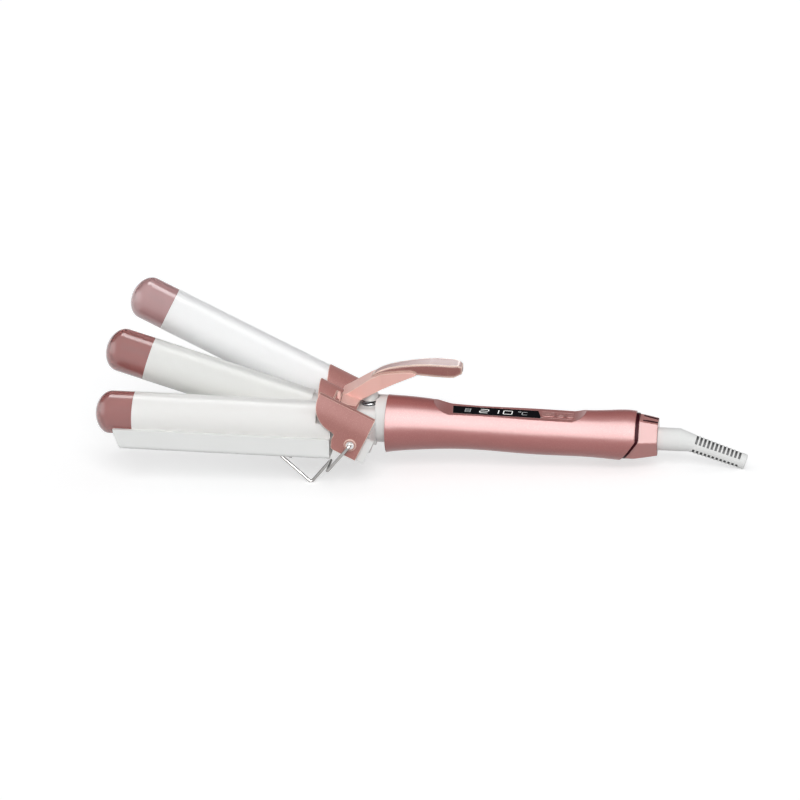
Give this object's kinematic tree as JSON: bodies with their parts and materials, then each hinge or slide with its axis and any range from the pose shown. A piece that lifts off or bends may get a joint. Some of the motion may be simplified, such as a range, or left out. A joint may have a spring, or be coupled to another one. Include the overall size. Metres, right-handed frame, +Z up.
{
  "type": "hair waver",
  "caption": "Triple-barrel hair waver with a hinged clamp and thumb lever, heat guard, wire stand, control handle with display and buttons, and swivel cord sleeve.",
  "frame": {"origin": "centre of the footprint of the bounding box, on the table that the stand and the cord sleeve rest on", "axes": "+X along the handle towards the cord, +Z up, the fixed barrel and its guard on the -Y side; the barrels point towards -X"},
  "size_m": [0.411, 0.1024, 0.1176],
  "materials": {
    "pink_shell": "satin metallic pink",
    "pink_gloss": "glossy pink, heat resistant",
    "pink_light": "satin light pink",
    "dark_trim": "glossy dark maroon",
    "white_plastic": "satin white",
    "barrel_coat": "ceramic-coated satin white",
    "display_black": "polished black",
    "display_module": "dark moulded",
    "board": "solder mask",
    "black_plastic": "black moulded",
    "black_rubber": "matt black",
    "steel": "turned",
    "spring_steel": "drawn wire",
    "chrome_wire": "polished",
    "brass": "plain",
    "heater_aluminium": "extruded"
  },
  "bodies": {
    "handle": {"handle_sleeve": "pink_shell", "display_window": "display_black", "display_module": "display_module", "circuit_board": "board", "tact_switches": "black_plastic", "power_parts": "black_plastic", "seam_ring": "dark_trim", "end_cap": "pink_shell", "swivel_retainer": "white_plastic", "brush_contacts": "brass", "jaw_yoke": "white_plastic", "heater_leads": "black_rubber", "hinge_pin": "steel", "hinge_washers": "steel", "heat_guard": "white_plastic", "near_barrel": "barrel_coat", "near_tip": "pink_gloss", "near_heater": "heater_aluminium", "clamp_spring": "spring_steel"},
    "centre_jaw": {"centre_arm": "white_plastic", "centre_barrel": "barrel_coat", "centre_tip": "pink_gloss", "centre_heater": "heater_aluminium"},
    "clamp": {"saddle": "pink_shell", "cheek_liners": "white_plastic", "far_plug": "white_plastic", "far_barrel": "barrel_coat", "far_tip": "pink_gloss", "far_heater": "heater_aluminium", "lever_arm": "pink_light", "lever_pad": "pink_shell", "spring_cup": "white_plastic"},
    "stand": {"stand_wire": "chrome_wire"},
    "power_key": {"power_button": "pink_shell"},
    "plus_key": {"plus_button": "pink_shell"},
    "minus_key": {"minus_button": "pink_shell"},
    "swivel": {"strain_relief": "white_plastic", "swivel_core": "black_rubber", "slip_rings": "brass"}
  },
  "joints": [
    {"name": "clamp_hinge", "type": "hinge", "parent": "handle", "child": "clamp", "pos_m": [-0.04113, 0, 0.03275], "axis": [0, -1, 0], "range_deg": [-5, 25.3], "deforming": ["clamp_spring"]},
    {"name": "centre_hinge", "type": "hinge", "parent": "handle", "child": "centre_jaw", "pos_m": [-0.04113, 0, 0.03275], "axis": [0, -1, 0], "range_deg": [-3.25, 16.25]},
    {"name": "stand_hinge", "type": "hinge", "parent": "handle", "child": "stand", "pos_m": [-0.04113, 0, 0.03275], "axis": [0, -1, 0], "range_deg": [0, 129]},
    {"name": "cord_swivel", "type": "hinge", "parent": "handle", "child": "swivel", "pos_m": [0.14846, 0, 0.01997], "axis": [0.9986, 0, -0.052], "continuous": true},
    {"name": "power_press", "type": "slide", "parent": "handle", "child": "power_key", "axis": [-0.0648, 0, -0.9979], "range_m": [0, 0.0008], "stiffness_N_per_m": 1500, "springref_m": -0.0003},
    {"name": "plus_press", "type": "slide", "parent": "handle", "child": "plus_key", "axis": [-0.0648, 0, -0.9979], "range_m": [0, 0.0008], "stiffness_N_per_m": 1500, "springref_m": -0.0003},
    {"name": "minus_press", "type": "slide", "parent": "handle", "child": "minus_key", "axis": [-0.0648, 0, -0.9979], "range_m": [0, 0.0008], "stiffness_N_per_m": 1500, "springref_m": -0.0003}
  ],
  "couplings": [
    {"joint": "centre_hinge", "follows": "clamp_hinge", "ratio": 0.64032}
  ]
}
